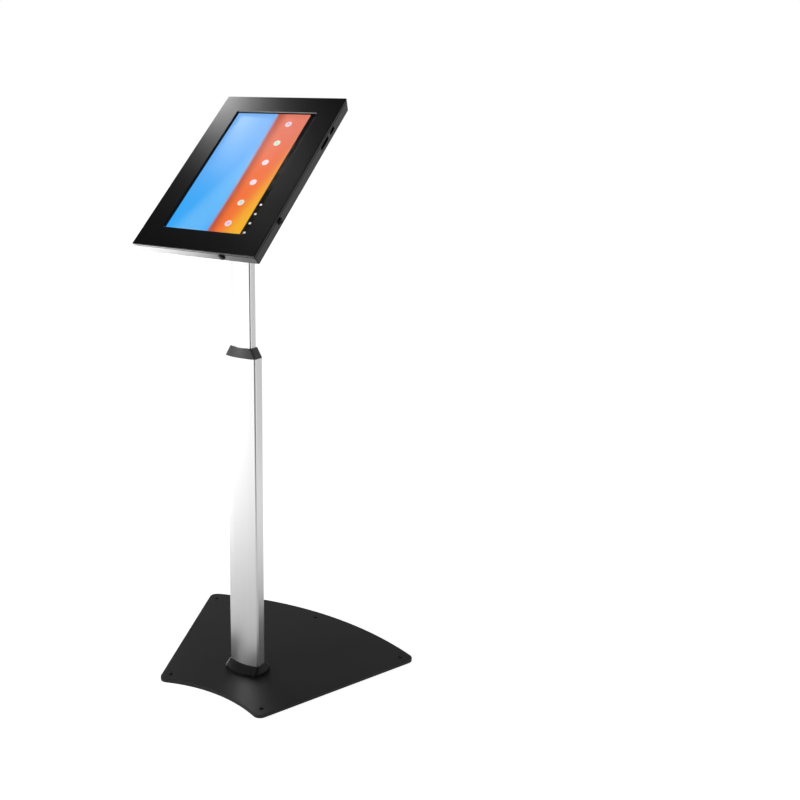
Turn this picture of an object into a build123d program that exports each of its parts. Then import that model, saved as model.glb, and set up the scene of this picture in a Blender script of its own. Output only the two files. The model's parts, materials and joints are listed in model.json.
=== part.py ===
import os
from math import atan, cos, degrees, radians, sin, sqrt

from build123d import *

os.makedirs("parts", exist_ok=True)

# Base: a steel plate cut as a slice of a flat ring, on thin rubber pads
base_thickness = 5.0
base_inner_radius = 232.0
base_outer_radius = 515.5
base_half_angle = 23.7
base_arc_centre_y = -310.0
base_corner_radius = 12.0
base_edge_round = 0.8
anchor_hole_diameter = 7.0
anchor_side_margin = 15.0
anchor_front_margin = 15.5
anchor_back_margin = 18.5
pad_thickness = 1.0
pad_diameter = 24.0
pad_margin = 42.0
centre_pad_length = 64.0
centre_pad_width = 30.0
centre_pad_corner = 7.5

# Outer column: a drawn aluminium tube with rounded corners and crowned broad faces
outer_width = 53.0
outer_depth = 19.0
outer_corner = 3.8
outer_crown = 3.4
outer_wall = 1.8
outer_length = 495.0

# Inner column: the same section, smaller, sliding in the outer one
inner_width = 34.8
inner_depth = 14.2
inner_corner = 3.0
inner_crown = 1.8
inner_wall = 1.6
inner_length = 487.0
slide_clearance = 0.15
fit_clearance = 0.1

# Foot block in the outer column, screwed to the base from below
foot_height = 40.0
foot_bolt_spacing = 28.0
foot_bolt_diameter = 6.0
foot_bolt_head_diameter = 12.0
foot_bolt_reach = 18.0
foot_set_screw_diameter = 4.0
foot_set_screw_length = 9.0
foot_set_screw_height = 9.0

# Flared skirt round the column foot
skirt_height = 13.0
skirt_foot_height = 4.0
skirt_side_flare = 5.0
skirt_face_flare = 10.0
skirt_rim = 2.4
skirt_rim_edge = 0.8
skirt_corner = 8.0
skirt_crown = 5.0
skirt_side_crown = 2.8

# Tapered collar on the outer column, with the sleeve that guides the inner one
collar_height = 14.0
collar_lip = 1.0
collar_rim = 2.2
sleeve_length = 42.0
sleeve_pocket_width = 3.4
sleeve_pocket_depth = 20.0
sleeve_pocket_margin = 2.6
sleeve_pocket_corner = 1.0

# Height lock in the outer column's left side
lock_drop = 14.0
lock_screw_diameter = 6.0
lock_socket_across_flats = 3.0
lock_socket_depth = 2.5
lock_insert_diameter = 8.0
lock_pad_thickness = 1.2

# Slider at the lower end of the inner column
slider_height = 14.0
slider_lead = 0.8
slider_plug_height = 22.0
slider_screw_diameter = 3.0
slider_screw_length = 6.0

# Tilt joint on top of the inner column
pivot_height = 699.0
pivot_diameter = 8.0
pivot_clearance = 0.08
knuckle_radius = 11.0
knuckle_width = 30.0
knuckle_flange = 3.0
knuckle_drop = 22.0
knuckle_plug_height = 34.0
knuckle_screw_diameter = 4.0
knuckle_screw_length = 8.0
knuckle_screw_drop = 17.0
friction_washer_thickness = 1.4
friction_washer_radius = 10.0
running_gap = 0.1
ear_thickness = 3.0
ear_radius = 12.0
bracket_bend = 2.4
bracket_top = 24.0
bracket_bottom = 42.0
pivot_arm = 38.4
pivot_standoff = 26.0
bolt_washer_thickness = 1.2
bolt_washer_radius = 8.0
bolt_head_height = 4.5
nut_across_flats = 13.0
nut_height = 6.5
hexagon_chamfer = 0.8
thread_end = 1.5

# Swivel joint between the tilt bracket and the housing
swivel_plate_width = 90.0
swivel_plate_thickness = 2.5
swivel_plate_corner = 6.0
swivel_bolt_diameter = 8.0
swivel_bolt_head_diameter = 18.0
swivel_bolt_head_height = 2.4
swivel_bolt_head_round = 1.2
swivel_disc_diameter = 52.0
swivel_disc_thickness = 1.0
swivel_washer_thickness = 1.6
plate_hole_spacing = 75.0
plate_screw_diameter = 4.0
plate_screw_head_diameter = 8.0
plate_nut_diameter = 8.0
plate_nut_height = 2.2

# Housing: a folded steel tray with sloping walls, closed by a front cover
tilt_angle = 43.4
head_side_room = 14.0
head_end_room = 13.5
head_depth = 18.0
wall_inset = 3.5
sheet = 1.5
sheet_corner = 1.6
sheet_bend = 1.0
cover_rim = 2.6
seam_width = 1.2
window_width = 134.0
window_height = 219.0
window_rise = 2.0
window_bevel = 1.0
window_corner = 1.0

# Side openings over the tablet's buttons, and the cable hole in the tray floor
slot_width = 6.0
slot_corner = 2.0
power_slot_length = 13.0
power_slot_position = 88.5
volume_slot_length = 23.0
volume_slot_position = 64.5
cable_hole_diameter = 24.0
cable_hole_position = -100.0

# Security screws through the tray wall into nuts on the cover's tabs
screw_diameter = 5.0
screw_head_diameter = 9.5
screw_head_height = 2.7
screw_clearance = 0.2
screw_head_round = 2.1
socket_across_flats = 4.0
socket_pin_radius = 0.75
socket_depth = 1.6
screw_depth = 9.5
side_screw_position = -74.0
bottom_screw_position = 44.0
tab_width = 24.0
tab_end = 14.0
tab_gap = 0.2
hook_position = 50.0
rivet_nut_diameter = 8.0
rivet_nut_length = 5.0

# Tablet and its packing
tablet_width = 175.0
tablet_height = 257.0
tablet_thickness = 9.7
tablet_corner = 8.0
tablet_edge_round = 2.5
tablet_front = 3.5
glass_margin = 2.0
glass_thickness = 1.0
glass_proud = 0.2
display_thickness = 1.8
display_margin = 1.0
window_foam_margin = 3.0
window_foam_width = 9.0
packing_gap = 0.1
corner_block_length = 28.0
corner_block_front = 5.0
corner_block_gap = 0.6
back_pad_width = 30.0
back_pad_length = 56.0
back_pad_x = 60.0
back_pad_y = 78.0
button_thickness = 2.4
button_proud = 0.6
button_sunk = 1.6
button_gap = 0.1
power_button_length = 10.0
volume_button_length = 20.0

# Levels that follow from the sizes above
head_width = tablet_width + 2 * head_side_room
head_height = tablet_height + 2 * head_end_room
base_top = pad_thickness + base_thickness
outer_top = base_top + outer_length
inner_top = pivot_height - knuckle_drop
inner_bottom = inner_top - inner_length
lock_level = outer_top - lock_drop
wall_slope = wall_inset / head_depth
tray_front = cover_rim + seam_width
tray_floor = head_depth - sheet
tablet_back = tablet_front + tablet_thickness
button_depth = tablet_front + tablet_thickness / 2
pivot_depth = head_depth + pivot_standoff
disc_front = head_depth + swivel_plate_thickness + running_gap
bracket_front = disc_front + swivel_disc_thickness
bracket_back = bracket_front + ear_thickness
knuckle_half = knuckle_width / 2
ear_inner = knuckle_half + running_gap + friction_washer_thickness
ear_outer = ear_inner + ear_thickness

# The housing's own directions: across, up its face, and out of its face
across = Vector(1, 0, 0)
face_up = Vector(0, cos(radians(tilt_angle)), sin(radians(tilt_angle)))
face_out = Vector(0, -sin(radians(tilt_angle)), cos(radians(tilt_angle)))
face_centre = Vector(0, 0, pivot_height) + face_out * pivot_depth + face_up * pivot_arm
face_plane = Plane(origin=face_centre, x_dir=across, z_dir=face_out)
cheek_plane = Plane(origin=face_centre, x_dir=face_up, z_dir=across)
pivot_plane = Plane(origin=(0, 0, pivot_height), x_dir=face_up, z_dir=across)
face_axis = Axis(face_centre, face_out)
slope_angle = atan(wall_slope)


def column_outline(width, depth, corner, crown, side_crown=0.0, mode=Mode.ADD):
    """A section with rounded corners, crowned broad faces, and narrow sides flat or crowned."""
    side = width / 2
    face = depth / 2
    turn = corner * (1 - sqrt(0.5))
    with BuildLine() as section:
        for front in (-1, 1):
            ThreePointArc(
                (front * (side - corner), front * face),
                (0, front * (face + crown)),
                (front * (corner - side), front * face),
            )
            ThreePointArc(
                (front * (corner - side), front * face),
                (front * (turn - side), front * (face - turn)),
                (-front * side, front * (face - corner)),
            )
            if side_crown:
                ThreePointArc(
                    (-front * side, front * (face - corner)),
                    (-front * (side + side_crown), 0),
                    (-front * side, front * (corner - face)),
                )
            else:
                Line((-front * side, front * (face - corner)), (-front * side, front * (corner - face)))
            ThreePointArc(
                (-front * side, front * (corner - face)),
                (front * (turn - side), front * (turn - face)),
                (front * (corner - side), -front * face),
            )
    make_face(section.edges(), mode=mode)


def outer_outline(growth, mode=Mode.ADD):
    """The outer column's outline, moved out by growth, or in where growth is negative."""
    grown = 2 * growth
    column_outline(outer_width + grown, outer_depth + grown, outer_corner + growth, outer_crown, mode=mode)


def inner_outline(growth, mode=Mode.ADD):
    """The inner column's outline, moved out by growth, or in where growth is negative."""
    grown = 2 * growth
    column_outline(inner_width + grown, inner_depth + grown, inner_corner + growth, inner_crown, mode=mode)


def housing_outline(depth, inset=0.0):
    """The housing's rounded rectangle at a depth behind its face, moved in by inset."""
    shrink = 2 * (depth * wall_slope + inset)
    RectangleRounded(head_width - shrink, head_height - shrink, sheet_corner)


def at_depth(depth):
    """The plane parallel to the face, at a depth behind it."""
    return face_plane.offset(-depth)


def wall_plane(outward, half_size, position, depth):
    """A plane on a sloping wall: X along the wall, Y towards the face, Z out of the wall."""
    along = face_out.cross(outward)
    across_wall = outward * (half_size - depth * wall_slope)
    origin = face_centre + across_wall + along * position - face_out * depth
    normal = outward * cos(slope_angle) - face_out * sin(slope_angle)
    return Plane(origin=origin, x_dir=along, z_dir=normal)


def base_point(radius, angle):
    """A point on the base, by its radius about the arcs' centre and its angle from the middle."""
    return (radius * sin(radians(angle)), base_arc_centre_y + radius * cos(radians(angle)))


def base_margin_angle(radius, margin):
    """The angle at which a point of this radius lies margin inside the base's straight side."""
    return base_half_angle - degrees(margin / radius)


# Base plate
front_hole_radius = base_inner_radius + anchor_front_margin
back_hole_radius = base_outer_radius - anchor_back_margin
front_hole_angle = base_margin_angle(front_hole_radius, anchor_side_margin)
back_hole_angle = base_margin_angle(back_hole_radius, anchor_side_margin)
anchor_points = [
    base_point(front_hole_radius, -front_hole_angle),
    base_point(front_hole_radius, front_hole_angle),
    base_point(back_hole_radius, -back_hole_angle),
    base_point(back_hole_radius, 0),
    base_point(back_hole_radius, back_hole_angle),
]
with BuildPart() as base_plate:
    with BuildSketch(Plane.XY.offset(pad_thickness)) as base_outline:
        with BuildLine():
            outer_arc = ThreePointArc(
                base_point(base_outer_radius, -base_half_angle),
                base_point(base_outer_radius, 0),
                base_point(base_outer_radius, base_half_angle),
            )
            inner_arc = ThreePointArc(
                base_point(base_inner_radius, base_half_angle),
                base_point(base_inner_radius, 0),
                base_point(base_inner_radius, -base_half_angle),
            )
            Line(outer_arc @ 1, inner_arc @ 0)
            Line(inner_arc @ 1, outer_arc @ 0)
        make_face()
        fillet(base_outline.vertices(), base_corner_radius)
    extrude(amount=base_thickness)
    fillet(base_plate.faces().sort_by(Axis.Z)[-1].edges(), base_edge_round)
    with Locations([(x, y, base_top) for x, y in anchor_points]):
        Hole(anchor_hole_diameter / 2)
    with Locations(Plane.XY.offset(pad_thickness).rotated((180, 0, 0))):
        with GridLocations(foot_bolt_spacing, 0, 2, 1):
            CounterSinkHole(foot_bolt_diameter / 2 + fit_clearance, foot_bolt_head_diameter / 2)
base_plate.part.label = "base_plate"
export_step(base_plate.part, "parts/base_plate.step")

# Rubber pads stuck under the plate: five near its edge and one under the column
pad_front_radius = base_inner_radius + pad_margin
pad_back_radius = base_outer_radius - pad_margin
pad_front_angle = base_margin_angle(pad_front_radius, pad_margin)
pad_back_angle = base_margin_angle(pad_back_radius, pad_margin)
with BuildPart() as base_pads:
    with BuildSketch(Plane.XY):
        with Locations(
            base_point(pad_front_radius, -pad_front_angle),
            base_point(pad_front_radius, pad_front_angle),
            base_point(pad_back_radius, -pad_back_angle),
            base_point(pad_back_radius, 0),
            base_point(pad_back_radius, pad_back_angle),
        ):
            Circle(pad_diameter / 2)
        RectangleRounded(centre_pad_length, centre_pad_width, centre_pad_corner)
    extrude(amount=pad_thickness)
base_pads.part.label = "base_pads"
export_step(base_pads.part, "parts/base_pads.step")

# Countersunk screws from below, through the plate into the foot block
bolt_cone = (foot_bolt_head_diameter - foot_bolt_diameter) / 2
with BuildPart() as base_screws:
    with Locations([(x, 0, pad_thickness) for x in (-foot_bolt_spacing / 2, foot_bolt_spacing / 2)]):
        Cone(
            foot_bolt_head_diameter / 2 - fit_clearance,
            foot_bolt_diameter / 2,
            bolt_cone,
            align=(Align.CENTER, Align.CENTER, Align.MIN),
        )
        Cylinder(
            foot_bolt_diameter / 2,
            base_thickness + foot_bolt_reach,
            align=(Align.CENTER, Align.CENTER, Align.MIN),
        )
base_screws.part.label = "base_screws"
export_step(base_screws.part, "parts/base_screws.step")

# Foot block: fills the tube's lower end
set_screw_level = base_top + foot_set_screw_height
with BuildPart() as column_foot:
    with BuildSketch(Plane.XY.offset(base_top)):
        outer_outline(-outer_wall - fit_clearance)
    extrude(amount=foot_height)
    with BuildSketch(Plane.XY.offset(base_top)):
        with GridLocations(foot_bolt_spacing, 0, 2, 1):
            Circle(foot_bolt_diameter / 2 + fit_clearance)
    extrude(amount=foot_bolt_reach + fit_clearance, mode=Mode.SUBTRACT)
    with BuildSketch(Plane.YZ.offset(-outer_width / 2)):
        with Locations((0, set_screw_level)):
            Circle(foot_set_screw_diameter / 2 + fit_clearance)
    extrude(amount=foot_set_screw_length + fit_clearance, mode=Mode.SUBTRACT)
    with BuildSketch(Plane.YZ.offset(outer_width / 2)):
        with Locations((0, set_screw_level)):
            Circle(foot_set_screw_diameter / 2 + fit_clearance)
    extrude(amount=-foot_set_screw_length - fit_clearance, mode=Mode.SUBTRACT)
column_foot.part.label = "column_foot"
export_step(column_foot.part, "parts/column_foot.step")

# Set screws, flush in the tube's narrow sides, under the skirt
with BuildPart() as foot_screws:
    with BuildSketch(Plane.YZ.offset(-outer_width / 2)):
        with Locations((0, set_screw_level)):
            Circle(foot_set_screw_diameter / 2)
    extrude(amount=foot_set_screw_length)
    with BuildSketch(Plane.YZ.offset(outer_width / 2)):
        with Locations((0, set_screw_level)):
            Circle(foot_set_screw_diameter / 2)
    extrude(amount=-foot_set_screw_length)
foot_screws.part.label = "foot_screws"
export_step(foot_screws.part, "parts/foot_screws.step")

# Outer column
with BuildPart() as outer_column:
    with BuildSketch(Plane.XY.offset(base_top)):
        outer_outline(0)
        outer_outline(-outer_wall, mode=Mode.SUBTRACT)
    extrude(amount=outer_length)
    with BuildSketch(Plane.YZ.offset(-outer_width)):
        with Locations((0, set_screw_level)):
            Circle(foot_set_screw_diameter / 2 + fit_clearance)
    extrude(amount=2 * outer_width, mode=Mode.SUBTRACT)
    with BuildSketch(Plane.YZ.offset(-outer_width)):
        with Locations((0, lock_level)):
            Circle(lock_screw_diameter / 2 + fit_clearance)
    extrude(amount=outer_width, mode=Mode.SUBTRACT)
outer_column.part.label = "outer_column"
export_step(outer_column.part, "parts/outer_column.step")



def skirt_outline():
    """The skirt's outline at its foot."""
    column_outline(
        outer_width + 2 * skirt_side_flare,
        outer_depth + 2 * skirt_face_flare,
        skirt_corner,
        skirt_crown,
        skirt_side_crown,
    )


# Skirt: a flared moulding round the column, standing on the base
with BuildPart() as base_collar:
    with BuildSketch(Plane.XY.offset(base_top)):
        skirt_outline()
    extrude(amount=skirt_foot_height)
    with BuildSketch(Plane.XY.offset(base_top + skirt_foot_height)):
        skirt_outline()
    with BuildSketch(Plane.XY.offset(base_top + skirt_height - skirt_rim_edge)):
        outer_outline(skirt_rim)
    loft()
    with BuildSketch(Plane.XY.offset(base_top + skirt_height - skirt_rim_edge)):
        outer_outline(skirt_rim)
    with BuildSketch(Plane.XY.offset(base_top + skirt_height)):
        outer_outline(skirt_rim - skirt_rim_edge)
    loft()
    with BuildSketch(Plane.XY.offset(base_top)):
        outer_outline(slide_clearance)
    extrude(amount=skirt_height, mode=Mode.SUBTRACT)
base_collar.part.label = "base_collar"
export_step(base_collar.part, "parts/base_collar.step")

# Collar and sleeve: one moulding, seated on the outer column's upper end
sleeve_side = outer_width / 2 - outer_wall - inner_width / 2
pocket_x = inner_width / 2 + sleeve_side / 2
pocket_length = outer_depth - 2 * outer_wall - 2 * sleeve_pocket_margin
with BuildPart() as top_collar:
    with BuildSketch(Plane.XY.offset(outer_top)):
        outer_outline(0)
    extrude(amount=collar_lip)
    with BuildSketch(Plane.XY.offset(outer_top + collar_lip)):
        outer_outline(0)
    with BuildSketch(Plane.XY.offset(outer_top + collar_height)):
        inner_outline(collar_rim)
    loft()
    with BuildSketch(Plane.XY.offset(outer_top)):
        outer_outline(-outer_wall - fit_clearance)
    extrude(amount=-sleeve_length)
    with BuildSketch(Plane.XY.offset(outer_top - sleeve_length)):
        inner_outline(slide_clearance)
    extrude(amount=sleeve_length + collar_height, mode=Mode.SUBTRACT)
    with BuildSketch(Plane.XY.offset(outer_top - sleeve_length)):
        with Locations((-pocket_x, 0), (pocket_x, 0)):
            RectangleRounded(sleeve_pocket_width, pocket_length, sleeve_pocket_corner)
    extrude(amount=sleeve_pocket_depth, mode=Mode.SUBTRACT)
    with BuildSketch(Plane.YZ.offset(-outer_width)):
        with Locations((0, lock_level)):
            Circle(lock_insert_diameter / 2 + fit_clearance)
    extrude(amount=outer_width, mode=Mode.SUBTRACT)
top_collar.part.label = "top_collar"
export_step(top_collar.part, "parts/top_collar.step")

# Lock insert: a threaded bush in the sleeve's left side
insert_inner = inner_width / 2 + slide_clearance + lock_pad_thickness
insert_outer = outer_width / 2 - outer_wall - fit_clearance
with BuildPart() as lock_insert:
    with BuildSketch(Plane.YZ.offset(-insert_outer)):
        with Locations((0, lock_level)):
            Circle(lock_insert_diameter / 2)
            Circle(lock_screw_diameter / 2 + fit_clearance, mode=Mode.SUBTRACT)
    extrude(amount=insert_outer - insert_inner)
lock_insert.part.label = "lock_insert"
export_step(lock_insert.part, "parts/lock_insert.step")

# Lock pad: soft, between the lock screw and the inner column
with BuildPart() as lock_pad:
    with BuildSketch(Plane.YZ.offset(-insert_inner)):
        with Locations((0, lock_level)):
            Circle(lock_insert_diameter / 2)
    extrude(amount=lock_pad_thickness)
lock_pad.part.label = "lock_pad"
export_step(lock_pad.part, "parts/lock_pad.step")

# Lock screw: a socket set screw, flush in the tube's side
with BuildPart() as lock_screw:
    with BuildSketch(Plane.YZ.offset(-outer_width / 2)):
        with Locations((0, lock_level)):
            Circle(lock_screw_diameter / 2)
    extrude(amount=outer_width / 2 - insert_inner)
    with BuildSketch(Plane.YZ.offset(-outer_width / 2)):
        with Locations((0, lock_level)):
            RegularPolygon(lock_socket_across_flats / 2, 6, major_radius=False)
    extrude(amount=lock_socket_depth, mode=Mode.SUBTRACT)
lock_screw.part.label = "lock_screw"
export_step(lock_screw.part, "parts/lock_screw.step")

# Inner column, with cross holes for the knuckle's and the slider's screws
knuckle_screw_level = inner_top - knuckle_screw_drop
slider_screw_level = inner_bottom + slider_plug_height / 2
with BuildPart() as inner_column:
    with BuildSketch(Plane.XY.offset(inner_bottom)):
        inner_outline(0)
        inner_outline(-inner_wall, mode=Mode.SUBTRACT)
    extrude(amount=inner_length)
    with BuildSketch(Plane.YZ.offset(-inner_width)):
        with Locations((0, knuckle_screw_level)):
            Circle(knuckle_screw_diameter / 2 + fit_clearance)
        with Locations((0, slider_screw_level)):
            Circle(slider_screw_diameter / 2 + fit_clearance)
    extrude(amount=2 * inner_width, mode=Mode.SUBTRACT)
inner_column.part.label = "inner_column"
export_step(inner_column.part, "parts/inner_column.step")

# Slider: plugs the inner column's lower end and runs inside the outer one
with BuildPart() as column_slider:
    with BuildSketch(Plane.XY.offset(inner_bottom)):
        outer_outline(-outer_wall - slide_clearance)
    extrude(amount=slider_lead - slider_height)
    with BuildSketch(Plane.XY.offset(inner_bottom - slider_height + slider_lead)):
        outer_outline(-outer_wall - slide_clearance)
    with BuildSketch(Plane.XY.offset(inner_bottom - slider_height)):
        outer_outline(-outer_wall - slide_clearance - slider_lead)
    loft()
    with BuildSketch(Plane.XY.offset(inner_bottom)):
        inner_outline(-inner_wall - fit_clearance)
    extrude(amount=slider_plug_height)
    with BuildSketch(Plane.YZ.offset(-inner_width)):
        with Locations((0, slider_screw_level)):
            Circle(slider_screw_diameter / 2 + fit_clearance)
    extrude(amount=inner_width / 2 + slider_screw_length + fit_clearance, mode=Mode.SUBTRACT)
    with BuildSketch(Plane.YZ.offset(inner_width)):
        with Locations((0, slider_screw_level)):
            Circle(slider_screw_diameter / 2 + fit_clearance)
    extrude(amount=-inner_width / 2 - slider_screw_length - fit_clearance, mode=Mode.SUBTRACT)
column_slider.part.label = "column_slider"
export_step(column_slider.part, "parts/column_slider.step")

# Slider screws, flush in the inner column's sides
with BuildPart() as slider_screws:
    for side in (-1, 1):
        with BuildSketch(Plane.YZ.offset(side * inner_width / 2)):
            with Locations((0, slider_screw_level)):
                Circle(slider_screw_diameter / 2)
        extrude(amount=-side * slider_screw_length)
slider_screws.part.label = "slider_screws"
export_step(slider_screws.part, "parts/slider_screws.step")

# Knuckle: a casting plugged into the inner column's upper end, with the tilt bore
with BuildPart() as tilt_knuckle:
    with BuildSketch(Plane.XY.offset(inner_top)):
        inner_outline(-inner_wall - fit_clearance)
    extrude(amount=-knuckle_plug_height)
    with BuildSketch(Plane.XY.offset(inner_top)):
        inner_outline(0)
    extrude(amount=knuckle_flange)
    with BuildSketch(Plane.YZ.offset(-knuckle_half)):
        with Locations((0, pivot_height)):
            Circle(knuckle_radius)
        with Locations((0, inner_top + knuckle_flange / 2)):
            Rectangle(inner_depth, knuckle_flange)
        make_hull()
    extrude(amount=knuckle_width)
    with BuildSketch(Plane.YZ.offset(-knuckle_width)):
        with Locations((0, pivot_height)):
            Circle(pivot_diameter / 2 + pivot_clearance)
    extrude(amount=2 * knuckle_width, mode=Mode.SUBTRACT)
    for side in (-1, 1):
        with BuildSketch(Plane.YZ.offset(side * inner_width / 2)):
            with Locations((0, knuckle_screw_level)):
                Circle(knuckle_screw_diameter / 2 + fit_clearance)
        extrude(amount=-side * (knuckle_screw_length + fit_clearance), mode=Mode.SUBTRACT)
tilt_knuckle.part.label = "tilt_knuckle"
export_step(tilt_knuckle.part, "parts/tilt_knuckle.step")

# Knuckle screws, flush in the inner column's sides
with BuildPart() as knuckle_screws:
    for side in (-1, 1):
        with BuildSketch(Plane.YZ.offset(side * inner_width / 2)):
            with Locations((0, knuckle_screw_level)):
                Circle(knuckle_screw_diameter / 2)
        extrude(amount=-side * knuckle_screw_length)
knuckle_screws.part.label = "knuckle_screws"
export_step(knuckle_screws.part, "parts/knuckle_screws.step")

# Tilt bracket: a plate across the back of the swivel, with two ears folded back to the pivot
with BuildPart() as tilt_bracket:
    with BuildSketch(at_depth(bracket_front)):
        with Locations((0, (bracket_top - bracket_bottom) / 2)):
            Rectangle(2 * ear_outer, bracket_top + bracket_bottom)
    extrude(amount=-ear_thickness)
    for side in (-1, 1):
        with BuildSketch(cheek_plane.offset(side * ear_inner)):
            with Locations((-pivot_arm, -pivot_depth)):
                Circle(ear_radius)
            with Locations(((bracket_top - bracket_bottom) / 2, -bracket_front - ear_thickness / 2)):
                Rectangle(bracket_top + bracket_bottom, ear_thickness)
            make_hull()
        extrude(amount=side * ear_thickness)
    front_edges = tilt_bracket.faces().sort_by(face_axis)[-1].edges()
    fillet(front_edges.filter_by(Axis((0, 0, 0), face_up)), bracket_bend)
    with BuildSketch(cheek_plane.offset(-2 * ear_outer)):
        with Locations((-pivot_arm, -pivot_depth)):
            Circle(pivot_diameter / 2 + fit_clearance)
    extrude(amount=4 * ear_outer, mode=Mode.SUBTRACT)
    with BuildSketch(at_depth(bracket_front)):
        Circle(swivel_bolt_diameter / 2 + pivot_clearance)
    extrude(amount=-ear_thickness, mode=Mode.SUBTRACT)
tilt_bracket.part.label = "tilt_bracket"
export_step(tilt_bracket.part, "parts/tilt_bracket.step")

# Friction washers on the tilt bolt, between the knuckle and the ears
with BuildPart() as friction_washers:
    with BuildSketch(cheek_plane.offset(-ear_inner)):
        with Locations((-pivot_arm, -pivot_depth)):
            Circle(friction_washer_radius)
            Circle(pivot_diameter / 2 + fit_clearance, mode=Mode.SUBTRACT)
    extrude(amount=friction_washer_thickness)
    with BuildSketch(cheek_plane.offset(ear_inner)):
        with Locations((-pivot_arm, -pivot_depth)):
            Circle(friction_washer_radius)
            Circle(pivot_diameter / 2 + fit_clearance, mode=Mode.SUBTRACT)
    extrude(amount=-friction_washer_thickness)
friction_washers.part.label = "friction_washers"
export_step(friction_washers.part, "parts/friction_washers.step")

# Steel washers on the tilt bolt, outside the ears
with BuildPart() as bolt_washers:
    for side in (-1, 1):
        with BuildSketch(cheek_plane.offset(side * ear_outer)):
            with Locations((-pivot_arm, -pivot_depth)):
                Circle(bolt_washer_radius)
                Circle(pivot_diameter / 2 + fit_clearance, mode=Mode.SUBTRACT)
        extrude(amount=side * bolt_washer_thickness)
bolt_washers.part.label = "bolt_washers"
export_step(bolt_washers.part, "parts/bolt_washers.step")


def hexagon(height, bore=0.0):
    """A hexagon standing on the origin, its corners turned back at both ends, with or without a bore."""
    with BuildPart() as blank:
        with BuildSketch():
            Circle(nut_across_flats / sqrt(3))
        extrude(amount=height)
        chamfer(blank.edges(), hexagon_chamfer)
        with BuildSketch():
            RegularPolygon(nut_across_flats / 2, 6, major_radius=False)
            if bore:
                Circle(bore / 2, mode=Mode.SUBTRACT)
        extrude(amount=height, mode=Mode.INTERSECT)
    return blank.part


# Tilt bolt, along the column's width
bolt_seat = ear_outer + bolt_washer_thickness
bolt_end = bolt_seat + nut_height + thread_end
with BuildPart() as pivot_bolt:
    with BuildSketch(cheek_plane.offset(-bolt_end)):
        with Locations((-pivot_arm, -pivot_depth)):
            Circle(pivot_diameter / 2)
    extrude(amount=bolt_end + bolt_seat)
    with Locations(Location(pivot_plane.offset(bolt_seat))):
        add(hexagon(bolt_head_height))
pivot_bolt.part.label = "pivot_bolt"
export_step(pivot_bolt.part, "parts/pivot_bolt.step")

# Tilt nut, against the left washer
with BuildPart() as pivot_nut:
    with Locations(Location(pivot_plane.offset(-bolt_seat - nut_height))):
        add(hexagon(nut_height, pivot_diameter + 2 * fit_clearance))
pivot_nut.part.label = "pivot_nut"
export_step(pivot_nut.part, "parts/pivot_nut.step")

# Swivel disc: a plastic ring between the bracket and the swivel plate
with BuildPart() as swivel_disc:
    with BuildSketch(at_depth(disc_front)):
        Circle(swivel_disc_diameter / 2)
        Circle(swivel_bolt_diameter / 2 + pivot_clearance, mode=Mode.SUBTRACT)
    extrude(amount=-swivel_disc_thickness)
swivel_disc.part.label = "swivel_disc"
export_step(swivel_disc.part, "parts/swivel_disc.step")

# Swivel washer, between the bracket and the nut
with BuildPart() as swivel_washer:
    with BuildSketch(at_depth(bracket_back)):
        Circle(bolt_washer_radius)
        Circle(swivel_bolt_diameter / 2 + pivot_clearance, mode=Mode.SUBTRACT)
    extrude(amount=-swivel_washer_thickness)
swivel_washer.part.label = "swivel_washer"
export_step(swivel_washer.part, "parts/swivel_washer.step")

# Swivel plate, fixed to the tray by four flush screws
plate_cone = (plate_screw_head_diameter - plate_screw_diameter) / 2
plate_back = head_depth + swivel_plate_thickness
plate_rear_plane = Plane(origin=face_centre - face_out * plate_back, x_dir=across, z_dir=-face_out)
with BuildPart() as swivel_plate:
    with BuildSketch(at_depth(head_depth)):
        RectangleRounded(swivel_plate_width, swivel_plate_width, swivel_plate_corner)
        Circle(swivel_bolt_diameter / 2 + fit_clearance, mode=Mode.SUBTRACT)
    extrude(amount=-swivel_plate_thickness)
    with Locations(plate_rear_plane):
        with GridLocations(plate_hole_spacing, plate_hole_spacing, 2, 2):
            CounterSinkHole(plate_screw_diameter / 2 + fit_clearance, plate_screw_head_diameter / 2)
swivel_plate.part.label = "swivel_plate"
export_step(swivel_plate.part, "parts/swivel_plate.step")

# Plate screws, flush in the swivel plate
plate_screw_length = swivel_plate_thickness + sheet + plate_nut_height
with BuildPart() as plate_screws:
    with Locations(plate_rear_plane):
        with GridLocations(plate_hole_spacing, plate_hole_spacing, 2, 2):
            Cone(
                plate_screw_diameter / 2,
                plate_screw_head_diameter / 2 - fit_clearance,
                plate_cone,
                align=(Align.CENTER, Align.CENTER, Align.MAX),
            )
            Cylinder(
                plate_screw_diameter / 2,
                plate_screw_length,
                align=(Align.CENTER, Align.CENTER, Align.MAX),
            )
plate_screws.part.label = "plate_screws"
export_step(plate_screws.part, "parts/plate_screws.step")

# Plate nuts, low ones on the tray floor
with BuildPart() as plate_nuts:
    with BuildSketch(at_depth(tray_floor)):
        with GridLocations(plate_hole_spacing, plate_hole_spacing, 2, 2):
            Circle(plate_nut_diameter / 2)
            Circle(plate_screw_diameter / 2 + fit_clearance, mode=Mode.SUBTRACT)
    extrude(amount=plate_nut_height)
plate_nuts.part.label = "plate_nuts"
export_step(plate_nuts.part, "parts/plate_nuts.step")

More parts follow.
